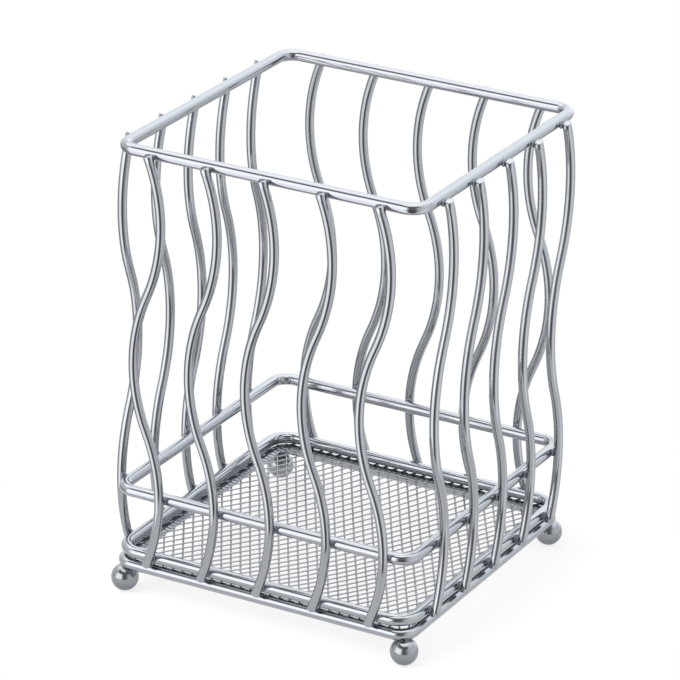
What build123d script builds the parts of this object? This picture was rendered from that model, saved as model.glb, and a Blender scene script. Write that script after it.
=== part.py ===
from build123d import *
import math
import os

# Square wire basket for cutlery. Sizes in mm, +Z up, origin under the middle of the floor,
# front face towards -Y. Every wire is drawn with twelve flats whose distance from the middle of
# the wire is its true radius, so two crossing wires meet on a flat, as the welds press them.

side = 104.0  # centre line to centre line of the square rings
ring_wire = 3.8  # thickness of the wire in all four rings
upright_wire = 3.0  # thickness of the twenty waved wires
ball_size = 9.0  # diameter of a foot ball
ball_flat = 0.6  # depth pressed off the top of a ball by the weld
flats = 12  # flats round every wire
ball_flats = 16  # flats round a ball, both ways

rim_height = 151.0  # middle of the top rim above the table
hoop_height = 36.0  # middle of the hoop that holds the uprights low down
rim_corner = 5.5  # corner radius of the centre line, for each ring
hoop_corner = 5.4
upper_base_corner = 7.0
lower_base_corner = 5.0

uprights_per_side = 5
upright_pitch = side / 5.2  # the outer two stay clear of the bent corners
upright_drop = 1.4  # how far the cut ends stay below the top of the rim
bows = 3  # arcs in one wave: right, left, right, seen from outside
bow_depth = 4.8  # how far one arc swings from the middle of the wave
bow_chords = 6  # straight chords that stand for one arc, to keep twenty wires light

mesh_thickness = 0.7
mesh_reach = 1.0  # how far the mesh runs past the centre line of the rings
diamond_width = 7.08  # twice the real pitch of the fine mesh, same angle and open share
diamond_length = 12.28
strand = 1.4
hem = 3.0  # least plain edge inside the centre line of the rings

# Heights and places that follow from the sizes above
half = side / 2
lower_base_height = ball_size - ball_flat + ring_wire / 2
mesh_bottom = lower_base_height + ring_wire / 2
mesh_top = mesh_bottom + mesh_thickness
upper_base_height = mesh_top + ring_wire / 2
upright_plane = half + ring_wire / 2 + upright_wire / 2
upright_top = rim_height + ring_wire / 2 - upright_drop
bow_chord = (upright_top - mesh_top) / bows
bow_radius = (bow_chord**2 / 4 + bow_depth**2) / (2 * bow_depth)
bow_angle = math.asin(bow_chord / 2 / bow_radius)
ball_place = half - lower_base_corner * (1 - math.sqrt(0.5))
diamonds_across = 2 * int((half - hem - diamond_width / 2) / diamond_width) + 1
diamonds_along = 2 * int((half - hem - diamond_length / 2) / diamond_length) + 1

os.makedirs("parts", exist_ok=True)


def make_ring(name, height, corner):
    """One square ring of wire, bent round four corners and butt welded into a loop."""
    with BuildPart() as ring:
        with BuildLine(Plane.XY.offset(height)) as centre_line:
            FilletPolyline((-half, -half), (half, -half), (half, half), (-half, half), radius=corner, close=True)
        loop = centre_line.line
        with BuildSketch(Plane(origin=loop @ 0, x_dir=(0, 0, 1), z_dir=loop % 0)):
            RegularPolygon(ring_wire / 2, flats, major_radius=False, rotation=180 / flats)
        sweep()
    ring.part.label = name
    export_step(ring.part, f"parts/{name}.step")


make_ring("top_rim", rim_height, rim_corner)
make_ring("mid_hoop", hoop_height, hoop_corner)
make_ring("upper_base_ring", upper_base_height, upper_base_corner)
make_ring("lower_base_ring", lower_base_height, lower_base_corner)


def wave_points(middle):
    """Points of one waved wire from its top end down, as (along the face, height)."""
    points = [(middle, upright_top)]
    for bow in range(bows):
        swing = 1 if bow % 2 == 0 else -1
        bow_height = upright_top - bow_chord * (bow + 0.5)
        for chord in range(1, bow_chords + 1):
            angle = bow_angle * (1 - 2 * chord / bow_chords)
            out = bow_depth - bow_radius * (1 - math.cos(angle))
            points.append((middle + swing * out, bow_height + bow_radius * math.sin(angle)))
    return points


def make_upright(name, face, middle):
    """One waved wire, its wave lying flat in the face of the basket."""
    points = wave_points(middle)
    with BuildPart() as upright:
        with BuildLine(face) as centre_line:
            Polyline(*points)
        wave = centre_line.line
        with BuildSketch(Plane(origin=wave @ 0, x_dir=face.z_dir, z_dir=wave % 0)):
            RegularPolygon(upright_wire / 2, flats, major_radius=False, rotation=180 / flats)
        sweep(transition=Transition.RIGHT)
    upright.part.label = name
    export_step(upright.part, f"parts/{name}.step")


for turn, face_name in enumerate(("front", "right", "back", "left")):
    outward = Vector(0, -1, 0).rotate(Axis.Z, 90 * turn)
    face = Plane(origin=outward * upright_plane, x_dir=Vector(1, 0, 0).rotate(Axis.Z, 90 * turn), z_dir=outward)
    for place in range(uprights_per_side):
        middle = (place - (uprights_per_side - 1) / 2) * upright_pitch
        make_upright(f"upright_{face_name}_{place + 1}", face, middle)

# Floor: one sheet of diamond mesh, its plain hem held between the two base rings
with BuildPart() as floor_mesh:
    with BuildSketch(Plane.XY.offset(mesh_bottom)):
        RectangleRounded(side + 2 * mesh_reach, side + 2 * mesh_reach, upper_base_corner + mesh_reach)
        half_width = diamond_width / 2
        half_length = diamond_length / 2
        opening = 1 - strand / 2 * math.hypot(half_width, half_length) / (half_width * half_length)
        diamond = [
            (half_width * opening, 0),
            (0, half_length * opening),
            (-half_width * opening, 0),
            (0, -half_length * opening),
        ]
        with GridLocations(diamond_width, diamond_length, diamonds_across, diamonds_along):
            Polygon(*diamond, mode=Mode.SUBTRACT)
        with GridLocations(diamond_width, diamond_length, diamonds_across + 1, diamonds_along + 1):
            Polygon(*diamond, mode=Mode.SUBTRACT)
    extrude(amount=mesh_thickness)
floor_mesh.part.label = "floor_mesh"
export_step(floor_mesh.part, "parts/floor_mesh.step")


def make_ball(name, x, y):
    """One foot ball, with a small flat where the lower base ring is welded down on it."""
    step = 2 * math.pi / ball_flats
    corner_radius = ball_size / 2 / math.cos(step / 2)
    middle = Plane.XY.offset(ball_size / 2)
    with BuildPart() as ball:
        with BuildSketch(middle):
            with Locations((x, y)):
                RegularPolygon(ball_size / 2, ball_flats, major_radius=False, rotation=180 / ball_flats)
        extrude(amount=corner_radius * math.sin(step / 2))
        for band in range(1, ball_flats // 4):
            low = (band - 0.5) * step
            high = low + step
            rise = corner_radius * (math.sin(high) - math.sin(low))
            shrink = corner_radius * (math.cos(low) - math.cos(high))
            with BuildSketch(middle.offset(corner_radius * math.sin(low))):
                with Locations((x, y)):
                    RegularPolygon(
                        corner_radius * math.cos(low), ball_flats, major_radius=False, rotation=180 / ball_flats
                    )
            extrude(amount=rise, taper=math.degrees(math.atan2(shrink, rise)))
        mirror(about=middle)
        split(bisect_by=Plane.XY.offset(ball_size - ball_flat), keep=Keep.BOTTOM)
    ball.part.label = name
    export_step(ball.part, f"parts/{name}.step")


make_ball("ball_foot_front_left", -ball_place, -ball_place)
make_ball("ball_foot_front_right", ball_place, -ball_place)
make_ball("ball_foot_back_right", ball_place, ball_place)
make_ball("ball_foot_back_left", -ball_place, ball_place)
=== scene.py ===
import math
import bpy
import numpy as np
from mathutils import Matrix, Vector


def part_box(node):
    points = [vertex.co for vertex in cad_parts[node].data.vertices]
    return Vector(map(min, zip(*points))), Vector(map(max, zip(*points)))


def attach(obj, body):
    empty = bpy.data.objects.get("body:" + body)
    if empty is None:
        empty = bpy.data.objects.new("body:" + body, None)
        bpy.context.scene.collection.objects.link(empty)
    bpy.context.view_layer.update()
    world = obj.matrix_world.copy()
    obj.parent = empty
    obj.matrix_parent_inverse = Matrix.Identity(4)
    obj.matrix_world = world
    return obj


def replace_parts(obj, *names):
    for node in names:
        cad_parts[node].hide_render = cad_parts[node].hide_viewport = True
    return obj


# Chrome wire basket for cutlery. Metres, +Z up, front face towards -Y, balls standing on z = 0.

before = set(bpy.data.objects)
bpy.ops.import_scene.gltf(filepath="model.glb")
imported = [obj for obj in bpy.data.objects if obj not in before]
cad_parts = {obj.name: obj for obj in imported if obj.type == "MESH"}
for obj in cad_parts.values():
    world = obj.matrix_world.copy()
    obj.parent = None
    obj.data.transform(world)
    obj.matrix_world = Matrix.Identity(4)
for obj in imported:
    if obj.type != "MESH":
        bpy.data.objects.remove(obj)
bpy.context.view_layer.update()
upward = np.array([0.0, 0.0, 1.0])

# Small helpers


def linearColour(hexText):
    # sRGB hex to linear light: c / 12.92 up to 0.04045, and ((c + 0.055) / 1.055) ^ 2.4 above it
    channels = [int(hexText[i:i + 2], 16) / 255 for i in (1, 3, 5)]
    linear = [c / 12.92 if c <= 0.04045 else ((c + 0.055) / 1.055) ** 2.4 for c in channels]
    return (*linear, 1.0)


def addNode(tree, kind, settings=None, inputs=None, links=None):
    # One node with its settings, the values of its free sockets and the sockets that feed it
    node = tree.nodes.new(kind)
    for name, value in (settings or {}).items():
        setattr(node, name, value)
    for name, value in (inputs or {}).items():
        node.inputs[name].default_value = value
    for name, socket in (links or {}).items():
        tree.links.new(socket, node.inputs[name])
    return node


def newMaterial(name):
    material = bpy.data.materials.new(name)
    material.use_nodes = True
    material.node_tree.nodes.clear()
    return material, material.node_tree


def finishMaterial(tree, shader):
    output = addNode(tree, "ShaderNodeOutputMaterial")
    tree.links.new(shader.outputs[0], output.inputs["Surface"])


def newPiece(name, points, faces, material, smooth=True):
    mesh = bpy.data.meshes.new(name)
    mesh.from_pydata(np.asarray(points, float).tolist(), [], [tuple(face) for face in faces])
    mesh.update()
    mesh.polygons.foreach_set("use_smooth", [smooth] * len(mesh.polygons))
    mesh.materials.append(material)
    piece = bpy.data.objects.new(name, mesh)
    bpy.context.scene.collection.objects.link(piece)
    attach(piece, "root")
    return piece


def gridFaces(rows, columns, wrapRows=False):
    # Quads of a grid whose columns close on themselves: corner (i, j) is point i * columns + j
    i = np.arange(rows if wrapRows else rows - 1)[:, None]
    j = np.arange(columns)[None, :]
    here, there = i * columns, (i + 1) % rows * columns
    nextJ = (j + 1) % columns
    quads = np.stack([here + j, here + nextJ, there + nextJ, there + j], -1)
    return quads.reshape(-1, 4).tolist()


def sweepRound(path, side, up, radii, sides, closed):
    # A round wire. Point (i, j) = path_i + radius_i * (cos(a_j) * side_i + sin(a_j) * up_i),
    # with a_j = 2 pi j / sides
    angle = (np.arange(sides) * 2 * np.pi / sides)[None, :, None]
    ring = np.cos(angle) * side[:, None, :] + np.sin(angle) * up[:, None, :]
    points = path[:, None, :] + np.reshape(radii, (-1, 1, 1)) * ring
    faces = gridFaces(len(path), sides, wrapRows=closed)
    if not closed:  # flat ends
        faces.append(list(range(sides))[::-1])
        faces.append([(len(path) - 1) * sides + j for j in range(sides)])
    return points.reshape(-1, 3), faces


# Materials

plateLook = {
    # Nickel and chrome plate over drawn wire: a neutral grey mirror with a trace of blue
    "wireColour": "#9EA1A6",
    "wireRoughness": 0.10,
    "lumpLength": 0.0024,  # real drawing marks are about 0.6 mm long, here four times as coarse to show
    "lumpDepth": 0.00001,
    "lumpStrength": 0.25,
    # The balls are tumbled smooth before plating, and rubbed dull where they stand; towards the table their
    # colour also darkens with painted shade
    "ballColour": "#909398",
    "ballRoughness": 0.12,
    # painted shade: the darker colour the balls take on towards the table
    "ballPaintedShadeColour": "#5C5F63",
    "ballWearRoughness": 0.30,
    "ballShadeAndDullHeight": 0.0044,
    # Fine strands take less polish than wire, so they look greyer
    "meshColour": "#919398",
    "meshRoughness": 0.28,
    # The weld scorches the surface, and the plating over it stays dark
    "weldColour": "#74787F",
    "weldRoughness": 0.35,
}


def plateMaterial(name, finish):
    # Chrome plate: full metal, a mirror as clear as its polish
    material, tree = newMaterial(name)
    shader = addNode(tree, "ShaderNodeBsdfPrincipled", inputs={
        "Base Color": linearColour(plateLook[finish + "Colour"]),
        "Metallic": 1.0,
        "Roughness": plateLook[finish + "Roughness"],
    })
    finishMaterial(tree, shader)
    return material, tree, shader


def addLumps(tree, shader):
    # Faint waviness left by drawing and polishing
    place = addNode(tree, "ShaderNodeTexCoord")
    noise = addNode(tree, "ShaderNodeTexNoise",
                    inputs={"Scale": 1 / plateLook["lumpLength"], "Detail": 2.0},
                    links={"Vector": place.outputs["Object"]})
    bump = addNode(tree, "ShaderNodeBump",
                   inputs={"Strength": plateLook["lumpStrength"], "Distance": plateLook["lumpDepth"]},
                   links={"Height": noise.outputs["Fac"]})
    tree.links.new(bump.outputs["Normal"], shader.inputs["Normal"])


def addPaintedShadeAndDullness(tree, shader):
    # Painted shade and dullness towards the table: a darker colour and a higher roughness, blended in from
    # 1 at z = 0 to 0 at the given height
    place = addNode(tree, "ShaderNodeTexCoord")
    height = addNode(tree, "ShaderNodeSeparateXYZ", links={0: place.outputs["Object"]})
    shadeAndDullness = addNode(tree, "ShaderNodeMapRange",
                   inputs={1: 0.0, 2: plateLook["ballShadeAndDullHeight"], 3: 1.0, 4: 0.0},
                   links={0: height.outputs["Z"]})
    # painted shade: the ball colour darkens towards the table
    colour = addNode(tree, "ShaderNodeMix", {"data_type": "RGBA"}, {
        6: linearColour(plateLook["ballColour"]),
        7: linearColour(plateLook["ballPaintedShadeColour"]),
    }, {0: shadeAndDullness.outputs[0]})
    dullness = addNode(tree, "ShaderNodeMapRange",
                       inputs={3: plateLook["ballRoughness"], 4: plateLook["ballWearRoughness"]},
                       links={0: shadeAndDullness.outputs[0]})
    tree.links.new(colour.outputs[2], shader.inputs["Base Color"])
    tree.links.new(dullness.outputs[0], shader.inputs["Roughness"])


wirePlate, plateTree, plateShader = plateMaterial("chrome-plated drawn steel wire", "wire")
addLumps(plateTree, plateShader)
ballPlate, plateTree, plateShader = plateMaterial("chrome-plated steel ball", "ball")
addPaintedShadeAndDullness(plateTree, plateShader)
meshPlate = plateMaterial("chrome-plated expanded steel mesh", "mesh")[0]
weldPlate = plateMaterial("chrome-plated resistance weld", "weld")[0]
print("materials done")

# Rings

ringShape = {
    "corner": {  # radius of the wire's middle line at the corners
        "top_rim": 0.0055,
        "mid_hoop": 0.0054,
        "upper_base_ring": 0.0070,
        "lower_base_ring": 0.0050,
    },
    "sides": 32,
    "cornerSteps": 14,
    "straightSteps": 24,
}


def roundedSquare(half, corner, height):
    # Once round a square with round corners: four quarter circles about (+-c, +-c), c = half - corner,
    # joined by straight runs. Gives the points and the outward normals in the plane.
    turn = np.linspace(0, np.pi / 2, ringShape["cornerSteps"])
    run = np.linspace(0, 1, ringShape["straightSteps"] + 1)[1:-1, None]
    centres = (half - corner) * np.array([[1, 1, 0], [-1, 1, 0], [-1, -1, 0], [1, -1, 0]], float)
    points, normals = [], []
    for k, centre in enumerate(centres):
        angle = turn + k * np.pi / 2
        outward = np.stack([np.cos(angle), np.sin(angle), 0 * angle], 1)
        arc = centre + corner * outward
        nextArcStart = centres[(k + 1) % 4] + corner * outward[-1]
        points += [arc, arc[-1] + run * (nextArcStart - arc[-1])]
        normals += [outward, np.repeat(outward[-1:], len(run), 0)]
    points = np.concatenate(points)
    points[:, 2] = height
    return points, np.concatenate(normals)


ringFacts = {}
for ringName, corner in ringShape["corner"].items():
    low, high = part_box(ringName)
    radius = (high.z - low.z) / 2
    half = high.x - radius
    height = (high.z + low.z) / 2
    ringFacts[ringName] = (half, radius, height)
    path, outward = roundedSquare(half, corner, height)
    up = np.tile(upward, (len(path), 1))
    points, faces = sweepRound(path, up, outward, np.full(len(path), radius), ringShape["sides"], True)
    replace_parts(newPiece(ringName + "Wire", points, faces, wirePlate), ringName)
print("rings done")

# Uprights

uprightShape = {
    "drop": 0.0017,       # the cut ends stay this far below the top of the rim
    "bows": 3,
    "bowDepth": 0.0048,
    "sides": 24,
    "stepsPerBow": 20,
    "endRound": 0.00022,  # the cut ends are barely rounded by the tumbling
    "perFace": 5,
}


def waveLine(top, bottom):
    # Bow k of the wave is an arc of chord c = (top - bottom) / bows and depth d, so its radius is
    # R = (c^2 / 4 + d^2) / 2d. At angle a, from +half to -half, it stands at +-(d - R (1 - cos a))
    # across and at middle_k + R sin a up.
    chord = (top - bottom) / uprightShape["bows"]
    depth = uprightShape["bowDepth"]
    radius = (chord ** 2 / 4 + depth ** 2) / (2 * depth)
    halfAngle = math.asin(chord / 2 / radius)
    angle = np.linspace(halfAngle, -halfAngle, uprightShape["stepsPerBow"] + 1)
    across, height, slope = [], [], []
    for bow in range(uprightShape["bows"]):
        swing = 1 if bow % 2 == 0 else -1
        middle = top - chord * (bow + 0.5)
        keep = slice(0, None) if bow == 0 else slice(1, None)
        across.append((swing * (depth - radius * (1 - np.cos(angle))))[keep])
        height.append((middle + radius * np.sin(angle))[keep])
        slope.append((swing * angle)[keep])
    return np.concatenate(across), np.concatenate(height), np.concatenate(slope)


def roundEnds(path, down, side, up, radius):
    # One more ring close to each end, and a smaller last ring
    inset = uprightShape["endRound"]
    path = np.concatenate([path[:1], path[:1] + down[:1] * inset, path[1:-1],
                           path[-1:] - down[-1:] * inset, path[-1:]])
    side = np.concatenate([side[:1], side, side[-1:]])
    up = np.concatenate([up[:1], up, up[-1:]])
    radii = np.full(len(path), radius)
    radii[0] = radii[-1] = radius - inset
    return path, side, up, radii


weldPlaces = []
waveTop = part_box("top_rim")[1].z - uprightShape["drop"]
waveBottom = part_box("floor_mesh")[1].z
across, height, slope = waveLine(waveTop, waveBottom)
for faceName, turn in (("front", 0), ("right", 90), ("back", 180), ("left", 270)):
    angle = math.radians(turn)
    along = np.array([math.cos(angle), math.sin(angle), 0.0]).round(9)
    outward = np.array([math.sin(angle), -math.cos(angle), 0.0]).round(9)
    for place in range(1, uprightShape["perFace"] + 1):
        node = f"upright_{faceName}_{place}"
        low, high = (np.array(corner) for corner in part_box(node))
        radius = min(high[0] - low[0], high[1] - low[1]) / 2
        centre = (low + high) / 2  # the wave swings equally both ways, so this is its own middle
        path = centre * [1, 1, 0] + across[:, None] * along + height[:, None] * upward
        side = np.cos(slope)[:, None] * along + np.sin(slope)[:, None] * upward
        down = np.sin(slope)[:, None] * along - np.cos(slope)[:, None] * upward
        up = np.tile(outward, (len(path), 1))
        path, side, up, radii = roundEnds(path, down, side, up, radius)
        points, faces = sweepRound(path, side, up, radii, uprightShape["sides"], False)
        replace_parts(newPiece(f"{node}Wire", points, faces, wirePlate), node)
        for ringName in ("top_rim", "mid_hoop", "upper_base_ring"):
            half, ringRadius, ringHeight = ringFacts[ringName]
            crossing = float(np.dot(centre, along) + across[np.argmin(np.abs(height - ringHeight))])
            spot = outward * (half + ringRadius) + along * crossing + upward * ringHeight
            weldPlaces.append((ringName, spot, along, outward))
print("uprights done")

# Foot balls

ballShape = {
    "rings": 28,
    "sides": 40,
    "neck": 0.0016,       # radius of the weld neck under the ring
    "neckTaper": 0.85,
    "neckFoot": 0.0001,   # heights above the flat
    "neckRise": 0.0006,
}

for cornerName in ("front_left", "front_right", "back_right", "back_left"):
    node = f"ball_foot_{cornerName}"
    low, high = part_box(node)
    middle = (low + high) / 2
    radius = (high.y - low.y) / 2
    cut = math.asin((high.z - low.z - radius) / radius)  # latitude of the flat under the ring
    # Ring i stands at latitude b_i, with radius R cos b and height R + R sin b. Two more make the neck.
    latitude = np.linspace(-math.pi / 2, cut, ballShape["rings"])[1:]
    neck = ballShape["neck"] * np.array([1.0, ballShape["neckTaper"]])
    neckHeight = high.z + np.array([ballShape["neckFoot"], ballShape["neckRise"]])
    ringRadius = np.concatenate([radius * np.cos(latitude), neck])[:, None]
    ringHeight = np.concatenate([radius + radius * np.sin(latitude), neckHeight])[:, None]
    sides = ballShape["sides"]
    angle = np.arange(sides) * 2 * np.pi / sides
    points = np.stack([middle.x + ringRadius * np.cos(angle), middle.y + ringRadius * np.sin(angle),
                       ringHeight + 0 * angle], -1).reshape(-1, 3)
    pole = len(points)
    faces = gridFaces(len(ringHeight), sides)
    faces.append(list(range(pole - sides, pole)))
    faces += [[pole, (j + 1) % sides, j] for j in range(sides)]
    points = np.concatenate([points, [[middle.x, middle.y, 0.0]]])
    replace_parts(newPiece(f"ballFoot_{cornerName}", points, faces, ballPlate), node)
print("balls done")

# Welds

weldShape = {
    "along": 0.0020,   # half sizes of one weld
    "out": 0.0007,
    "high": 0.0012,
    "rimDrop": 0.0007,  # at the rim it sits below the wire's widest line
    "rings": 8,
    "sides": 14,
}


def weldLens(centre, along, outward):
    # A flattened ball: centre + a cos b cos t along + o cos b sin t outward + h sin b up
    b = np.linspace(-math.pi / 2, math.pi / 2, weldShape["rings"] + 1)[1:-1, None, None]
    t = (np.arange(weldShape["sides"]) * 2 * np.pi / weldShape["sides"])[None, :, None]
    across = np.cos(b) * (weldShape["along"] * np.cos(t) * along + weldShape["out"] * np.sin(t) * outward)
    points = (centre + across + weldShape["high"] * np.sin(b) * upward).reshape(-1, 3)
    tips = [centre - weldShape["high"] * upward, centre + weldShape["high"] * upward]
    count, last = weldShape["sides"], len(points)
    faces = gridFaces(len(b), count)
    faces += [[last, (j + 1) % count, j] for j in range(count)]
    faces += [[last + 1, last - count + j, last - count + (j + 1) % count] for j in range(count)]
    if np.cross(along, outward)[2] < 0:
        faces = [face[::-1] for face in faces]
    return np.concatenate([points, tips]), faces


weldPoints, weldFaces = [], []
for ringName, spot, along, outward in weldPlaces:
    if ringName == "top_rim":
        spot = spot - weldShape["rimDrop"] * upward
    points, faces = weldLens(spot, along, outward)
    start = len(weldPoints) * len(points)
    weldPoints.append(points)
    weldFaces += [[i + start for i in face] for face in faces]
newPiece("uprightWelds", np.concatenate(weldPoints), weldFaces, weldPlate)
print("welds done")

# Floor mesh

meshShape = {
    "diamondWidth": 0.00354,   # short way of one diamond, along X
    "diamondLength": 0.00614,  # long way, along Y
    "strandWidth": 0.00062,
    "strandThick": 0.00040,
    "strandLift": 0.30,        # how far each family stands off the middle, in strand thicknesses
    "sag": 0.0030,             # the sheet hangs a little in the middle
    "steps": 44,
    "edge": 0.0520,            # the strands end on a round-cornered square, between the base rings
    "edgeCorner": 0.0055,
    "edgeSamples": 1200,
    "shortest": 0.001,
    "hemMiddle": 0.0490,       # the folded edge, half size of its middle line
    "hemWidth": 0.0044,
    "hemThick": 0.00050,
    "hemCorner": 0.0030,
    "hemRelief": 0.00012,
    "hemReliefAlong": 1.15,    # pitches of the relief, in diamond widths
    "hemReliefAcross": 1.3,
    "hemStepsPerSide": 260,
    "hemStepsAcross": 15,
}
meshLow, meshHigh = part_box("floor_mesh")
meshMiddle = (meshLow.z + meshHigh.z) / 2


def sagHeight(x, y):
    # Level at the rings and past them, lowest in the middle: -sag (1 - (x / h)^2) (1 - (y / h)^2)
    h = meshShape["hemMiddle"]
    return -meshShape["sag"] * np.clip(1 - (x / h) ** 2, 0, 1) * np.clip(1 - (y / h) ** 2, 0, 1)


def insideEdge(x, y):
    # A square with round corners: within the corner radius of a square that much smaller
    corner = meshShape["edgeCorner"]
    inner = meshShape["edge"] - corner
    return np.hypot(np.maximum(np.abs(x) - inner, 0), np.maximum(np.abs(y) - inner, 0)) <= corner


def strandFamily(lean, lift):
    # Straight strands x = x0 + lean * y * width / length, x0 one diamond apart, cut at the sheet's edge
    width, length, edge = meshShape["diamondWidth"], meshShape["diamondLength"], meshShape["edge"]
    slope = lean * width / length
    count = int(edge * (1 + width / length) / width)
    x0 = np.arange(-count, count + 1) * width + width / 2
    fineY = np.linspace(-edge, edge, meshShape["edgeSamples"])
    inside = insideEdge(x0[:, None] + slope * fineY, fineY[None, :])
    yLow = np.where(inside, fineY, edge).min(1)
    yHigh = np.where(inside, fineY, -edge).max(1)
    keep = yHigh - yLow > meshShape["shortest"]
    x0, yLow, yHigh = x0[keep], yLow[keep], yHigh[keep]
    t = np.linspace(0, 1, meshShape["steps"])
    y = yLow[:, None] + (yHigh - yLow)[:, None] * t
    x = x0[:, None] + slope * y
    path = np.stack([x, y, meshMiddle + lift + sagHeight(x, y)], -1)[:, :, None, :]
    # Six-sided flat section: half a width each way across the strand, half a thickness up and down
    across = np.array([1.0, -slope, 0.0]) / math.hypot(1, slope) * meshShape["strandWidth"]
    section = np.array([[1, 0], [0.5, 1], [-0.5, 1], [-1, 0], [-0.5, -1], [0.5, -1]]) / 2
    points = path + section[:, :1] * across + section[:, 1:] * meshShape["strandThick"] * upward
    corners = len(section)
    block = len(t) * corners
    ends = [list(range(corners))[::-1], [block - corners + j for j in range(corners)]]
    oneStrand = gridFaces(len(t), corners) + ends
    faces = [[i + k * block for i in face[::-1]] for k in range(len(x0)) for face in oneStrand]
    return points.reshape(-1, 3), faces


strandOffset = meshShape["strandThick"] * meshShape["strandLift"]
upperPoints, upperFaces = strandFamily(1, strandOffset)
lowerPoints, lowerFaces = strandFamily(-1, -strandOffset)
strandPoints = np.concatenate([upperPoints, lowerPoints])
strandFaces = upperFaces + [[i + len(upperPoints) for i in face] for face in lowerFaces]
strands = newPiece("floorMeshStrands", strandPoints, strandFaces, meshPlate, smooth=False)
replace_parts(strands, "floor_mesh")


def fourTimes(x, y):  # one side of the loop and its three quarter turns
    sides = [(x, y), (-y, x), (-x, -y), (y, -x)]
    return np.concatenate([np.stack(side, -1) for side in sides])


def hemBand():
    # The edge folded under, a flat loop round the square. With s along the edge and w across it, it carries
    # the relief of the doubled diamonds, d * cos(2 pi (s / a + w / b)) * cos(2 pi (s / a - w / b)).
    # Across the loop, v from -1/2 to 1/2 and w = v * width, both heights are times sqrt(1 - (2 v)^4),
    # so the top and the bottom meet at its two edges.
    half, width, thick = meshShape["hemMiddle"], meshShape["hemWidth"], meshShape["hemThick"]
    corner, perSide = meshShape["hemCorner"], meshShape["hemStepsPerSide"]
    quarter = np.pi / 2 * corner
    sideLength = quarter + 2 * (half - corner)
    s = (np.arange(perSide) + 0.5) / perSide * sideLength
    angle = np.minimum(s / corner, np.pi / 2)
    x = half - corner + corner * np.cos(angle) - np.maximum(s - quarter, 0)
    y = half - corner + corner * np.sin(angle)
    path = fourTimes(x, y)
    outward = fourTimes(np.cos(angle), np.sin(angle))
    run = (np.arange(4 * perSide) * sideLength / perSide)[:, None]
    v = np.linspace(-0.5, 0.5, meshShape["hemStepsAcross"])
    a = meshShape["diamondWidth"] * meshShape["hemReliefAlong"]
    b = meshShape["diamondWidth"] * meshShape["hemReliefAcross"]
    wave = np.cos(2 * np.pi * (run / a + v * width / b)) * np.cos(2 * np.pi * (run / a - v * width / b))
    relief = meshShape["hemRelief"] * wave
    edge = np.sqrt(np.clip(1 - (2 * v) ** 4, 0, 1))
    topZ = meshMiddle + (thick / 2 + relief) * edge
    lowZ = (meshMiddle - (thick / 2 - relief) * edge)[:, 1:-1]
    flat = path[:, None, :] + outward[:, None, :] * (v * width)[None, :, None]
    top = np.concatenate([flat, topZ[:, :, None]], -1)
    low = np.concatenate([flat[:, 1:-1], lowZ[:, :, None]], -1)[:, ::-1]
    points = np.concatenate([top, low], 1)
    faces = gridFaces(len(run), points.shape[1], wrapRows=True)
    return points.reshape(-1, 3), [face[::-1] for face in faces]


hemPoints, hemFaces = hemBand()
newPiece("floorMeshHem", hemPoints, hemFaces, meshPlate)
print("floor mesh done")

# Studio

studio = {
    "floorColour": "#A0A0A0",
    "floorGlow": 0.76,
    "floorRadius": 0.130,     # a round white table, its shadow fading out before its edge
    "shadowRadius": 0.095,
    "fadeEnd": 0.98,          # of the floor's radius
    "floorSides": 96,
    "worldLight": 0.62,
    "bandGain": 2.7,          # the soft boxes are this much brighter than white
    # What metal sees round the table, as (azimuth in degrees, level, blueness), in three belts
    "lowBands": [(-180, 0.28, 0.03), (-120, 0.20, 0.03), (-90, 0.16, 0.0), (-62, 0.24, 0.0),
                 (-46, 0.80, 0.0), (-6, 0.80, 0.0), (12, 0.06, 0.0), (42, 0.06, 0.0), (60, 0.34, 0.0),
                 (80, 0.58, 0.0), (104, 0.58, 0.0), (122, 0.44, 0.03), (150, 0.38, 0.03),
                 (176, 0.28, 0.03)],
    "highBands": [(-180, 0.76, 0.06), (-150, 0.62, 0.03), (-110, 0.45, 0.0), (-60, 0.40, 0.0),
                  (-44, 1.0, 0.0), (-4, 1.0, 0.0), (14, 0.10, 0.0), (42, 0.10, 0.0), (60, 0.40, 0.0),
                  (100, 0.50, 0.02), (140, 0.46, 0.06), (160, 0.70, 0.08), (178, 0.76, 0.06)],
    "topBands": [(-180, 0.85, 0.03), (-100, 0.92, 0.0), (-74, 0.75, 0.0), (-58, 0.25, 0.0),
                 (-46, 0.10, 0.0), (60, 0.10, 0.0), (84, 0.50, 0.0), (120, 0.70, 0.03),
                 (178, 0.85, 0.03)],
    "ceiling": (0.9, 0.9, 0.9, 1.0),
    # Each belt gives way to the next between two heights of the ray, as sines of its elevation
    "lowToHigh": (-0.30, 0.10),
    "highToTop": (0.50, 0.68),
    "topToCeiling": (0.84, 0.90),
}
whiteColour = (1.0, 1.0, 1.0, 1.0)

# Matt white card: it takes the basket's shadow, shows no gloss, and turns plain white towards its edge
floorMaterial, tree = newMaterial("matt white floor")
paper = addNode(tree, "ShaderNodeBsdfPrincipled", inputs={
    "Base Color": linearColour(studio["floorColour"]),
    "Roughness": 0.9,
    "Specular IOR Level": 0.0,
    "Emission Color": whiteColour,
    "Emission Strength": studio["floorGlow"],
})
plainWhite = addNode(tree, "ShaderNodeEmission", inputs={"Color": whiteColour, "Strength": 1.0})
place = addNode(tree, "ShaderNodeTexCoord")
away = addNode(tree, "ShaderNodeVectorMath", {"operation": "LENGTH"}, {}, {0: place.outputs["Object"]})
fade = addNode(tree, "ShaderNodeMapRange", inputs={
    1: studio["shadowRadius"],
    2: studio["floorRadius"] * studio["fadeEnd"],
    3: 0.0,
    4: 1.0,
}, links={0: away.outputs["Value"]})
fading = addNode(tree, "ShaderNodeMixShader",
                 links={0: fade.outputs[0], 1: paper.outputs[0], 2: plainWhite.outputs[0]})
finishMaterial(tree, fading)

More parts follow.
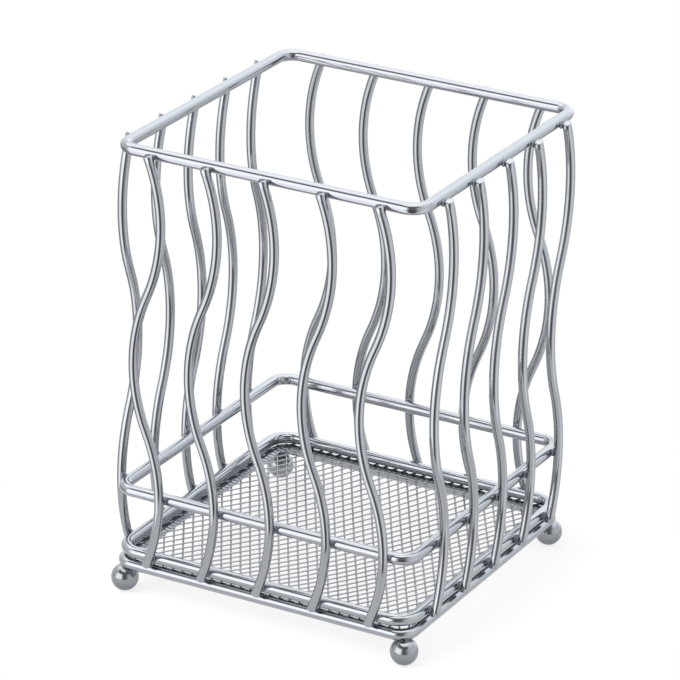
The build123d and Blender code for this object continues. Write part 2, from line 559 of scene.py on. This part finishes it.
turn = np.arange(studio["floorSides"]) * 2 * np.pi / studio["floorSides"]
floorPoints = studio["floorRadius"] * np.stack([np.cos(turn), np.sin(turn), 0 * turn], 1)
floorSheet = bpy.data.meshes.new("floor")
floorSheet.from_pydata(floorPoints.tolist(), [], [tuple(range(len(floorPoints)))])
floorSheet.materials.append(floorMaterial)
floorObject = bpy.data.objects.new("floor", floorSheet)
bpy.context.scene.collection.objects.link(floorObject)

world = bpy.data.worlds.new("studio")
bpy.context.scene.world = world
world.use_nodes = True
tree = world.node_tree
tree.nodes.clear()


def studioBelt(stops):
    # Grey levels round the studio, by the azimuth of the ray as a share of a full turn
    belt = addNode(tree, "ShaderNodeValToRGB", links={0: azimuth})
    ramp = belt.color_ramp
    ramp.elements.remove(ramp.elements[1])
    for degrees, level, blue in stops:
        share = (degrees + 180) / 360
        element = ramp.elements.new(share) if share > 0 else ramp.elements[0]
        element.color = (level, level * (1 + blue / 2), level * (1 + blue), 1)
    return belt.outputs[0]


def stackBelts(lower, upper, heights):
    # The lower belt below the first height, and the upper one, or else the ceiling, above the second
    share = addNode(tree, "ShaderNodeMapRange",
                    inputs={1: heights[0], 2: heights[1], 3: 0.0, 4: 1.0}, links={0: rayHeight})
    mix = addNode(tree, "ShaderNodeMix", {"data_type": "RGBA"},
                  {7: studio["ceiling"]}, {0: share.outputs[0], 6: lower})
    if upper:
        tree.links.new(upper, mix.inputs[7])
    return mix.outputs[2]


place = addNode(tree, "ShaderNodeTexCoord")
direction = addNode(tree, "ShaderNodeSeparateXYZ", links={0: place.outputs["Generated"]})
rayHeight = direction.outputs["Z"]
back = addNode(tree, "ShaderNodeMath", {"operation": "MULTIPLY"}, {1: -1.0}, {0: direction.outputs["Y"]})
around = addNode(tree, "ShaderNodeMath", {"operation": "ARCTAN2"}, {},
                 {0: direction.outputs["X"], 1: back.outputs[0]})
azimuth = addNode(tree, "ShaderNodeMapRange", inputs={1: -math.pi, 2: math.pi, 3: 0.0, 4: 1.0},
                  links={0: around.outputs[0]}).outputs[0]
# Plated metal sees soft boxes past the table, and the dark gaps between them that draw its stripes
surround = studioBelt(studio["lowBands"])
surround = stackBelts(surround, studioBelt(studio["highBands"]), studio["lowToHigh"])
surround = stackBelts(surround, studioBelt(studio["topBands"]), studio["highToTop"])
surround = stackBelts(surround, None, studio["topToCeiling"])
metalSees = addNode(tree, "ShaderNodeBackground", inputs={"Strength": studio["bandGain"]},
                    links={"Color": surround})
plainLight = addNode(tree, "ShaderNodeBackground",
                     inputs={"Color": whiteColour, "Strength": studio["worldLight"]})
cameraSees = addNode(tree, "ShaderNodeBackground", inputs={"Color": whiteColour, "Strength": 1.0})
ray = addNode(tree, "ShaderNodeLightPath")
straight = addNode(tree, "ShaderNodeMath", {"operation": "MAXIMUM"}, {},
                   {0: ray.outputs["Is Camera Ray"], 1: ray.outputs["Is Transmission Ray"]})
lighting = addNode(tree, "ShaderNodeMixShader", links={
    0: ray.outputs["Is Glossy Ray"],
    1: plainLight.outputs[0],
    2: metalSees.outputs[0],
})
everything = addNode(tree, "ShaderNodeMixShader", links={
    0: straight.outputs[0],
    1: lighting.outputs[0],
    2: cameraSees.outputs[0],
})
output = addNode(tree, "ShaderNodeOutputWorld")
tree.links.new(everything.outputs[0], output.inputs["Surface"])

lamps = {  # place, size and watts of each soft box
    "keyLamp": {"at": (-0.72, -1.0, 1.03), "size": 1.3, "watts": 14.0},
    "fillLamp": {"at": (1.3, 0.5, 0.9), "size": 0.5, "watts": 2.0},
}
lampTarget = Vector((0, 0, 0.07))
for name, lamp in lamps.items():
    light = bpy.data.lights.new(name, "AREA")
    light.shape = "SQUARE"
    light.size = lamp["size"]
    light.energy = lamp["watts"]
    lampObject = bpy.data.objects.new(name, light)
    bpy.context.scene.collection.objects.link(lampObject)
    lampObject.location = lamp["at"]
    lampObject.rotation_euler = (lampTarget - lampObject.location).to_track_quat("-Z", "Y").to_euler()
    lampObject.visible_glossy = False  # the belts above already hold the reflections of the soft boxes

view = {  # fitted to the photograph; lens and sensor in mm, angles in degrees
    "lens": 226.5,
    "sensor": 36.0,
    "azimuth": 28.267,
    "elevation": 22.824,
    "roll": 1.363,
    "distance": 1.35929,
    "target": (-0.00212, 0.0007, 0.07884),
    "farClip": 20.0,
}
camera = bpy.data.cameras.new("photoCamera")
camera.lens = view["lens"]
camera.sensor_width = view["sensor"]
camera.clip_end = view["farClip"]
cameraObject = bpy.data.objects.new("photoCamera", camera)
bpy.context.scene.collection.objects.link(cameraObject)
az, el = math.radians(view["azimuth"]), math.radians(view["elevation"])
towardsCamera = Vector((math.sin(az) * math.cos(el), -math.cos(az) * math.cos(el), math.sin(el)))
cameraObject.location = Vector(view["target"]) + view["distance"] * towardsCamera
aim = (Vector(view["target"]) - cameraObject.location).to_track_quat("-Z", "Y").to_matrix()
cameraObject.rotation_euler = (aim @ Matrix.Rotation(math.radians(view["roll"]), 3, "Z")).to_euler()
bpy.context.scene.camera = cameraObject

bpy.context.scene.view_settings.view_transform = "Standard"
print("studio done")
